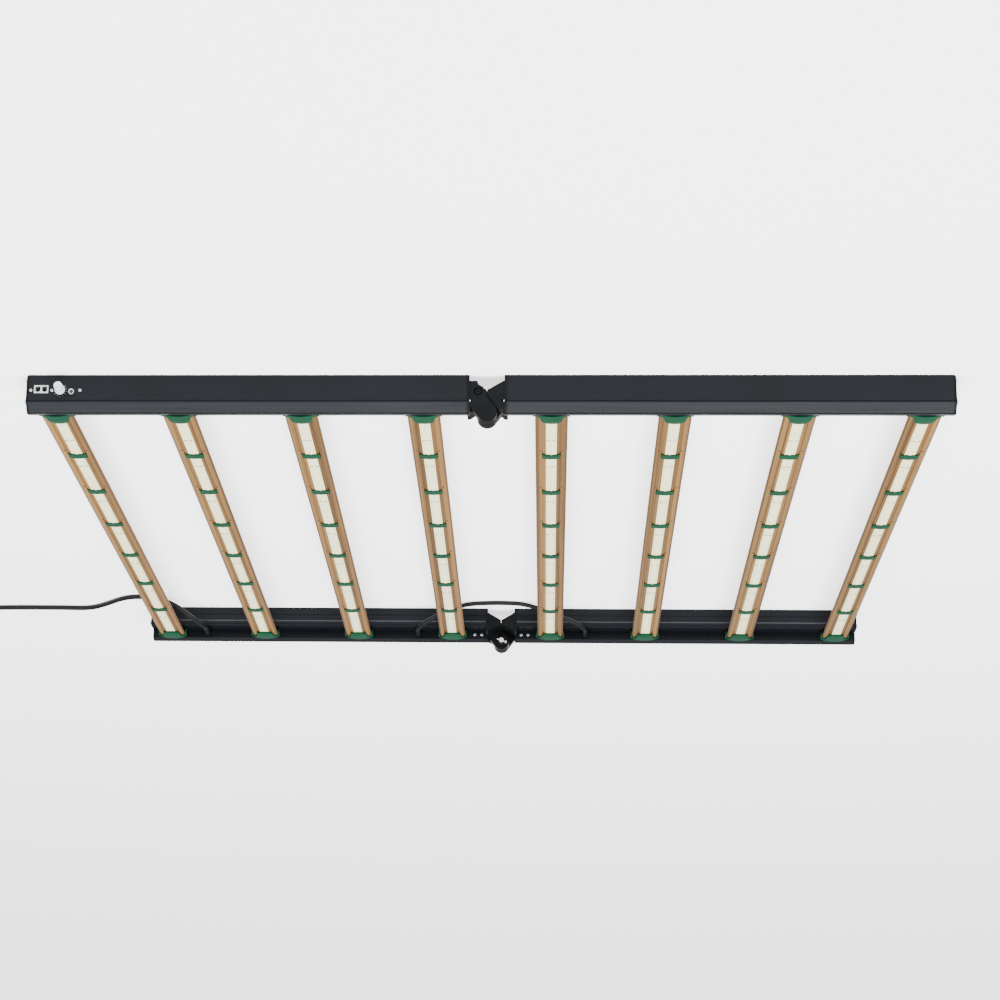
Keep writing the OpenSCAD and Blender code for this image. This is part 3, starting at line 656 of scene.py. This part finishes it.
for half in "ab":
    for side in ("front", "back"):
        dress_beam(side, half)
        dress(f"{side}_end_plate_{half}", PLATE, 0.0004)
        dress(f"{side}_hinge_bracket_{half}", HINGE, 0.0005)
    dress(f"led_driver_{half}", DRIVER, 0.0006)
    dress(f"hanger_inserts_{half}", ZINC, 0.0002)
    dress(f"strap_clips_{half}", GREEN, 0.0002)
    dress(f"bar_screws_{half}", ZINC, 0.0003)
dress_hinge_pin("front", 1)
dress_hinge_pin("back", -1)
for number in BARS:
    dress_bar(number)
dress("control_board", CIRCUIT, 0.0001)
dress("dimmer_pot", NICKEL, 0.0002)


# ---------------------------------------------------------------- LED strips

LED_PITCH = 7.5 * MM
LED_SIZE = 1.5 * MM
LED_HEIGHT = 0.75 * MM
BOARD_MARGIN = 6 * MM
CHIP_ROWS = [-420] + [row + 37 for row in CLIP_ROWS]


def led_strip(number, body):
    """A board with its LED packages and their pads, short rows of chips, and two copper runs."""
    low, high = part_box(f"led_board_{number}")
    x, top = (low.x + high.x) / 2, high.z
    shape = Shape()
    shape.block(low, high, 0)
    for side in (-1, 1):
        run = x + side * 4.6 * MM
        shape.block((run - 0.9 * MM, low.y + BOARD_MARGIN, top),
                    (run + 0.9 * MM, high.y - BOARD_MARGIN, top + 0.03 * MM), 1)
    count = int((high.y - low.y - 2 * BOARD_MARGIN) / LED_PITCH)
    start = (low.y + high.y) / 2 - (count - 1) * LED_PITCH / 2
    rows = [start + k * LED_PITCH for k in range(count)]
    for y in rows:
        led_package(shape, x, y, top)
    for wanted in CHIP_ROWS:
        y = min(rows, key=lambda row: abs(row - wanted * MM)) + LED_PITCH / 2
        for k in (-2, -1, 1, 2):
            chip = x + k * 2.3 * MM
            shape.block((chip - 0.8 * MM, y - 0.9 * MM, top),
                        (chip + 0.8 * MM, y + 0.9 * MM, top + 0.5 * MM), 5)
    return shape.piece(f"led_strip_{number}", [MASK, TRACE, LED_FRAME, PHOSPHOR, SOLDER, CHIP], body,
                       [f"led_board_{number}"])


def led_package(shape, x, y, top):
    """One package: a white frame with a sunk phosphor window and a solder pad at each end."""
    outer, inner, sunk = LED_SIZE, LED_SIZE * 0.76, top + LED_HEIGHT * 0.62
    height = top + LED_HEIGHT
    corners = [(-1, -1), (1, -1), (1, 1), (-1, 1)]
    rings = [[(x + cx * size, y + cy * size, z) for cx, cy in corners]
             for size, z in ((outer, top), (outer, height), (inner, height), (inner * 0.9, sunk))]
    verts = [p for ring in rings for p in ring]
    faces = [[i * 4 + k, i * 4 + (k + 1) % 4, (i + 1) * 4 + (k + 1) % 4, (i + 1) * 4 + k]
             for i in range(3) for k in range(4)]
    shape.add(verts, faces, 2)
    shape.add(rings[3], [[0, 1, 2, 3]], 3)
    for s in (-1, 1):
        y0, y1 = sorted((y + s * (outer + 0.05 * MM), y + s * (outer + 0.7 * MM)))
        shape.block((x - 1.1 * MM, y0, top), (x + 1.1 * MM, y1, top + 0.15 * MM), 4)


for number in BARS:
    led_strip(number, "power_half" if number <= 4 else "fold_half")


# ---------------------------------------------------------------- end caps

CAP_PLAN = [(0.1, 22.1), (3.8, 22.1), (5.0, 21.7), (5.7, 20.2), (6.2, 18.0), (6.8, 16.2), (7.9, 15.0),
            (9.8, 14.2), (13, 13.6), (17, 13.2), (20.5, 12.7), (23.4, 11.9), (25.4, 10.6), (26.8, 8.6),
            (27.6, 6.0), (28, 3.2)]
CAP_BOTTOM, CAP_CROWN, CAP_DOME_R = 39.75, 44.1, 62.0


def cap_top(x, y):
    """Height of the cap's crown, in millimetres: a dome across the bar that dips to its tip."""
    dome = CAP_CROWN - CAP_DOME_R + math.sqrt(CAP_DOME_R ** 2 - x * x)
    return dome - 1.3 * ease(y, 16, 28.5)


def cap_ring(y, half, bottom, fillet=1.3, count=14):
    """One cross-section of a cap: rounded shoulders and a domed top."""
    shoulder = max(half - fillet, half * 0.45)
    edge = cap_top(half, y) - fillet
    rounded = [(half, y, bottom)]
    for k in range(6):
        a = math.radians(90 * k / 5)
        rounded.append((half - (half - shoulder) * (1 - math.cos(a)), y,
                        edge + (cap_top(shoulder, y) - edge) * math.sin(a)))
    across = [-shoulder + 2 * shoulder * k / count for k in range(1, count)]
    crown = [(x, y, cap_top(x, y)) for x in across]
    return in_metres([(-x, y, z) for x, y, z in rounded] + crown + rounded[::-1])


def end_cap(shape, x, y, turn):
    """A moulded cap: collar over the bar, tongue over the board, and a tab down each side."""
    place = Matrix.Translation((x, y, 0)) @ Matrix.Rotation(turn, 4, "Z")
    shape.loft([cap_ring(s, half, CAP_BOTTOM) for s, half in CAP_PLAN], 0, place)
    for side in (-1, 1):
        left, right = sorted((side * 19.95 * MM, side * 22.1 * MM))
        top_right = right - 0.3 * MM if side > 0 else right
        rings = []
        for s, low, high in ((0.1, 29.6, 39.9), (9.6, 29.6, 39.9), (11.2, 30.4, 39.4), (12, 31.6, 38.2)):
            rings.append([(left, s * MM, low * MM), (right, s * MM, low * MM),
                          (right, s * MM, (high - 0.6) * MM), (top_right, s * MM, high * MM),
                          (left, s * MM, high * MM)])
        shape.loft(rings, 0, place)


def make_caps(half, body):
    """The caps of one half's bars, each turned to its own end of the bar."""
    shape = Shape()
    for low, high in islands(f"bar_end_caps_{half}"):
        x = (low.x + high.x) / 2
        if low.y < 0:
            end_cap(shape, x, low.y - 0.1 * MM, 0)
        else:
            end_cap(shape, x, high.y + 0.1 * MM, math.pi)
    shape.piece(f"end_caps_{half}", [GREEN], body, [f"bar_end_caps_{half}"],
                bevel=0.0003, angle=50)


make_caps("a", "power_half")
make_caps("b", "fold_half")


# ---------------------------------------------------------------- screws

def cross_head(shape, radius, height, place, recess=0.55, slot=0, dark=1):
    """A pan head with a cross recess: a domed ring of sectors round a sunk cross."""
    count = 48
    arm = radius * 0.17
    reach = radius * recess
    profile = [(1.0, 0.0), (1.0, 0.35), (0.93, 0.68), (0.8, 0.88), (0.66, 0.97)]
    rings = [[(radius * f * math.cos(2 * math.pi * k / count), radius * f * math.sin(2 * math.pi * k / count),
               height * h) for k in range(count)] for f, h in profile]
    cross = []
    for k in range(count):
        angle = 2 * math.pi * k / count
        c, s = math.cos(angle), math.sin(angle)
        big = max(abs(c), abs(s))
        small = min(abs(c), abs(s))
        length = min(reach / big, arm / max(small, 1e-6))
        cross.append((length * c, length * s))
    rings.append([(x, y, height) for x, y in cross])
    rings.append([(x * 0.9, y * 0.9, height * 0.45) for x, y in cross])
    verts = [p for ring in rings for p in ring]
    faces = [list(range(count))[::-1]]
    for i in range(len(rings) - 1):
        for k in range(count):
            after = (k + 1) % count
            faces.append([i * count + k, i * count + after, (i + 1) * count + after, (i + 1) * count + k])
    shape.add(verts, faces, slot, place)
    # The floor of the cross is painted dark as shade.
    shape.add(rings[-1], [list(range(count))], dark, place)


def shank(shape, radius, length, place):
    """A threaded shank below the head: a fine saw-tooth lathe."""
    profile = []
    pitch = 1.0 * MM
    turns = int(length / pitch)
    for k in range(turns):
        profile += [(radius, -k * pitch), (radius * 0.82, -(k + 0.5) * pitch)]
    profile += [(radius * 0.6, -turns * pitch), (radius * 0.1, -length)]
    shape.lathe(profile[::-1], 16, 0, place)


def make_end_screws(half, body):
    """Cross-head screws of the end plates and hinge flanges, and those into the flanges' tabs."""
    shape = Shape()
    rng = random.Random(4 if half == "a" else 5)
    for low, high in islands(f"beam_end_screws_{half}"):
        centre, size = (low + high) / 2, high - low
        if size.x > size.y:
            at_end_plate = abs(centre.x) > 0.3
            outward = Vector((1 if (low.x > 0) == at_end_plate else -1, 0, 0))
            head, length = 1.9 * MM, size.x
        else:
            outward = Vector((0, -1 if low.y > 0 else 1, 0))
            head, length = 1.7 * MM, size.y
        seat = centre + outward * (length / 2 - head)
        place = facing(seat, outward, rng.uniform(0, math.pi))
        cross_head(shape, size.z / 2, head, place)
        shank(shape, 1.5 * MM, length - head, place)
    shape.piece(f"cross_head_screws_{half}", [ZINC, RECESS_SHADE_AND_PRINT], body, [f"beam_end_screws_{half}"])


make_end_screws("a", "power_half")
make_end_screws("b", "fold_half")


# ---------------------------------------------------------------- control panel

def make_panel_screws():
    """The three cross-head screws in the row of controls."""
    shape = Shape()
    rng = random.Random(7)
    head = 1.4 * MM
    for low, high in islands("panel_screws"):
        at = ((low.x + high.x) / 2, low.y + head, (low.z + high.z) / 2)
        place = facing(at, (0, -1, 0), rng.uniform(0, math.pi))
        cross_head(shape, (high.x - low.x) / 2, head, place)
        shank(shape, 1.45 * MM, high.y - low.y - head, place)
    shape.piece("panel_cross_screws", [ZINC, RECESS_SHADE_AND_PRINT], "power_half", ["panel_screws"])


def make_knob():
    """Fluted dimmer knob with a raised pointer and a shallow dish in its face."""
    low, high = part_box("dimmer_knob")
    x, z = (low.x + high.x) / 2, control_row_z()
    depth = high.y - low.y
    place = facing((x, high.y, z), (0, -1, 0))

    def flutes(angle, radius, height):
        if 2.4 * MM < height < depth - 1.6 * MM and radius > 4.6 * MM:
            return radius - 0.28 * MM * (0.5 + 0.5 * math.cos(18 * angle)) ** 2
        return radius

    profile = [(5.7, 0), (6.1, 0.25), (6.15, 1.6), (5.9, 2.0), (5.75, 2.3), (5.72, 2.6), (5.55, 6),
               (5.38, 10), (5.2, 13.2), (5.1, 14.4), (4.9, 15.2), (4.5, 15.7), (3.9, 15.95), (3.4, 15.95),
               (3.0, 15.6)]
    shape = Shape()
    shape.lathe([(r * MM, h * MM) for r, h in profile], 144, 0, place, ripple=flutes)
    up = place.to_3x3().inverted() @ UP
    turn = math.atan2(up.y, up.x)
    rib = place @ Matrix.Rotation(turn, 4, "Z")
    outline = ((6.1, 2.0), (6.3, 2.6), (5.9, 12.4), (5.2, 15.0))
    shape.loft([[(4.6 * MM, -0.65 * MM, h * MM), (r * MM, -0.5 * MM, h * MM), (r * MM, 0.5 * MM, h * MM),
                 (4.6 * MM, 0.65 * MM, h * MM)] for r, h in outline], 0, rib)
    shape.block((0.6 * MM, -0.3 * MM, 15.58 * MM), (2.9 * MM, 0.3 * MM, 15.66 * MM), 1, rib)
    shape.piece("dimmer_knob_fluted", [KNOB, RECESS_SHADE_AND_PRINT], "dimmer_knob", ["dimmer_knob"],
                angle=45)


def make_dial_ticks():
    """Plain tick marks round the knob, printed on the beam's face."""
    low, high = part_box("dimmer_knob")
    x, z = (low.x + high.x) / 2, control_row_z()
    face = frame_face_y()
    radius, count = 7.1, 11
    shape = Shape()
    for k in range(count):
        angle = math.radians(90 - 135 + 27 * k)
        place = Matrix.Translation((x, face, z)) @ Matrix.Rotation(-angle, 4, "Y")
        length = 1.5 if k % 5 == 0 else 0.9
        shape.block((radius * MM, -0.04 * MM, -0.14 * MM), ((radius + length) * MM, 0, 0.14 * MM), 0, place)
    shape.piece("dial_ticks", [PRINT], "power_half")


def frame_face_y():
    """Plane of the front beams' outer face."""
    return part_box("front_end_plate_a")[0].y


def control_row_z():
    """Height of the row of controls."""
    low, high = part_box("panel_screws")
    return (low.z + high.z) / 2


def make_sockets():
    """Two data sockets in one housing: bezel, keyed openings, contacts and a dark block behind the openings
    as painted shade.
    """
    low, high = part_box("data_sockets")
    x, front, z0 = (low.x + high.x) / 2, low.y, low.z
    back = front + 8.4 * MM
    half_pitch, half_open, half_key = 4.1 * MM, 3.2 * MM, 1.6 * MM
    floor_z, roof_z, key_z = z0 + 1.0 * MM, z0 + 7.6 * MM, z0 + 8.6 * MM
    left, right = x - half_pitch, x + half_pitch
    shape = Shape()
    for a, b in ((low.x, left - half_open), (left + half_open, right - half_open),
                 (right + half_open, high.x)):
        shape.block((a, front, z0), (b, back, high.z))
    for centre in (left, right):
        a, b = centre - half_open, centre + half_open
        shape.block((a, front, z0), (b, back, floor_z))
        shape.block((a, front, roof_z), (centre - half_key, back, high.z))
        shape.block((centre + half_key, front, roof_z), (b, back, high.z))
        shape.block((centre - half_key, front, key_z), (centre + half_key, back, high.z))
        for k in range(6):
            cx = centre + (k - 2.5) * 0.85 * MM
            shape.loft([[(cx - w, y, floor_z + dz), (cx + w, y, floor_z + dz),
                         (cx + w, y, floor_z + dz + 0.3 * MM), (cx - w, y, floor_z + dz + 0.3 * MM)]
                        for w, y, dz in ((0.17 * MM, front + 1.0 * MM, 0.2 * MM),
                                         (0.17 * MM, front + 3.0 * MM, 1.1 * MM),
                                         (0.17 * MM, back, 2.4 * MM))], 2)
    shape.block((low.x, back, z0), (high.x, high.y, high.z), 1)
    shape.piece("data_socket_housing", [SOCKET, RECESS_SHADE_AND_PRINT, CONTACT], "power_half",
                ["data_sockets"], bevel=0.00012)


def make_jack():
    """Round sensor jack: knurled nickel ring round a bore, with the bore and the body inside painted dark as
    shade.
    """
    low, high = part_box("sensor_jack")
    x, z = (low.x + high.x) / 2, low.z + 4.0 * MM
    face = low.y
    place = facing((x, face + 1.5 * MM, z), (0, -1, 0))

    def knurl(angle, radius, _height):
        return radius - (0.12 * MM * (0.5 + 0.5 * math.cos(28 * angle)) if radius > 3.3 * MM else 0)

    shape = Shape()
    ring = [(3.05, -3.5), (3.05, 0), (3.5, 0), (3.5, 1.1), (3.25, 1.45), (2.85, 1.5), (2.5, 1.2),
            (2.45, 0.4), (2.4, -0.2)]
    sleeve = [(2.42, 0.0), (2.0, 0.1), (1.85, 0.0), (1.85, -3.5)]
    bore = [(1.84, -8), (1.84, -1.2), (1.5, -1.25), (1.5, -6)]
    shape.lathe([(r * MM, h * MM) for r, h in ring], 84, 0, place, ripple=knurl)
    shape.lathe([(r * MM, h * MM) for r, h in sleeve], 40, 1, place)
    shape.lathe([(r * MM, h * MM) for r, h in bore], 32, 1, place)
    shape.block((low.x, face + 3.7 * MM, low.z), (high.x, high.y, high.z), 1)
    shape.piece("sensor_jack_ring", [NICKEL, RECESS_SHADE_AND_PRINT], "power_half", ["sensor_jack"])


make_panel_screws()
make_knob()
make_dial_ticks()
make_sockets()
make_jack()


# ---------------------------------------------------------------- glands

GLAND_WALL_DEPTH = 26.4 * MM


def make_gland(node, body):
    """Gland with a round flange, snap wings behind the wall and a ribbed, tapering strain relief."""
    low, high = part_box(node)
    x, z = (low.x + high.x) / 2, (low.z + high.z) / 2
    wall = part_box("back_beam_a")[1].y - GLAND_WALL_DEPTH
    cable = (CORD_D if node == "mains_gland" else JUMPER_D) / 2 + 0.15 * MM
    place = facing((x, wall, z), (0, -1, 0))
    length = wall - low.y
    profile = [(3.9, -5.9), (4.2, -5.6), (4.2, 0), (5.0, 0), (5.1, 0.4), (5.1, 3.4), (4.9, 3.9)]
    start, ribs = 4.2, 7
    step = (length / MM - start - 1.0) / ribs
    first_r, end_r = 4.95, cable / MM + 0.35
    for k in range(ribs):
        r = first_r + (end_r - first_r) * (k / ribs)
        h = start + k * step
        profile += [(r, h), (r - 0.05, h + step * 0.62), (r - 0.62, h + step * 0.68),
                    (r - 0.66, h + step * 0.95)]
    profile += [(end_r, length / MM - 0.9), (end_r - 0.1, length / MM - 0.05), (cable / MM, length / MM),
                (cable / MM, length / MM - 6)]
    shape = Shape()
    shape.lathe([(r * MM, h * MM) for r, h in profile], 40, 0, place)
    for side in (-1, 1):
        a, b = sorted((side * 3.5 * MM, side * 5.9 * MM))
        shape.loft([[(a, -3.6 * MM, h), (b, -3.2 * MM, h), (b, 3.2 * MM, h), (a, 3.6 * MM, h)]
                    for h in (-5.0 * MM, -2.1 * MM)], 0, place)
    shape.piece(node + "_relief", [BLACK_PLASTIC], body, [node], angle=40)


make_gland("mains_gland", "power_half")
make_gland("jumper_gland_a", "power_half")
make_gland("jumper_gland_b", "fold_half")


# ---------------------------------------------------------------- lock pins

def make_lock_pin(side, outward):
    """Push pin with a cross-slotted head that stays just clear of the recess's floor when pushed in."""
    node = f"{side}_lock_pin"
    low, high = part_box(node)
    face = low.y if outward < 0 else high.y
    head = 2.4 * MM
    at = ((low.x + high.x) / 2, face - outward * head, (low.z + high.z) / 2)
    place = facing(at, (0, outward, 0), 0.3)
    shape = Shape()
    cross_head(shape, 4.7 * MM, head, place, recess=0.5)
    shape.lathe([(2.6 * MM, -8.2 * MM), (2.95 * MM, -7.8 * MM), (2.95 * MM, 0)], 40, 0, place)
    shape.piece(f"{side}_lock_button", [OXIDE, HINGE], node, [node], angle=40)


make_lock_pin("front", -1)
make_lock_pin("back", 1)


# ---------------------------------------------------------------- stage and light

def make_stage():
    """A plain pale floor."""
    mesh = bpy.data.meshes.new("floor")
    half = 60.0
    corners = [(-half, -half, 0), (half, -half, 0), (half, half, 0), (-half, half, 0)]
    mesh.from_pydata(corners, [], [[0, 1, 2, 3]])
    floor = bpy.data.objects.new("floor", mesh)
    shader = Shader("pale_floor", (0.93, 0.93, 0.93), 0.8, specular=0.1)
    shader.set(shader.bsdf, "Emission Color", (1, 1, 1, 1))
    shader.set(shader.bsdf, "Emission Strength", 1.6)
    mesh.materials.append(shader.material)
    bpy.context.scene.collection.objects.link(floor)


def area_light(name, at, target, size, power, color=(1, 1, 1)):
    """A rectangular soft box aimed at a point."""
    data = bpy.data.lights.new(name, "AREA")
    data.color = color
    data.shape, data.size, data.size_y = "RECTANGLE", size[0], size[1]
    data.energy = power
    light = bpy.data.objects.new(name, data)
    light.location = at
    light.rotation_mode = "QUATERNION"
    light.rotation_quaternion = (Vector(target) - Vector(at)).to_track_quat("-Z", "Y")
    bpy.context.scene.collection.objects.link(light)


def make_world():
    """Even studio light, brighter overhead than at the horizon."""
    world = bpy.data.worlds.new("studio")
    bpy.context.scene.world = world
    world.use_nodes = True
    tree = world.node_tree
    background = tree.nodes["Background"]
    coords = tree.nodes.new("ShaderNodeTexCoord")
    split = tree.nodes.new("ShaderNodeSeparateXYZ")
    ramp = tree.nodes.new("ShaderNodeValToRGB")
    tree.links.new(coords.outputs["Generated"], split.inputs["Vector"])
    tree.links.new(split.outputs["Z"], ramp.inputs["Fac"])
    ramp.color_ramp.elements[0].position, ramp.color_ramp.elements[1].position = 0.0, 0.9
    ramp.color_ramp.elements[0].color = (0.62, 0.62, 0.63, 1)
    ramp.color_ramp.elements[1].color = (1.08, 1.12, 1.2, 1)
    tree.links.new(ramp.outputs["Color"], background.inputs["Color"])
    background.inputs["Strength"].default_value = 1.1


make_stage()
make_world()
area_light("key", (-0.9, -2.2, 3.1), (0, 0, 0), (3.6, 1.6), 120)
area_light("top", (0, -1.3, 3.1), (0, -0.5, 0), (4.4, 1.0), 260, (0.92, 0.96, 1.0))
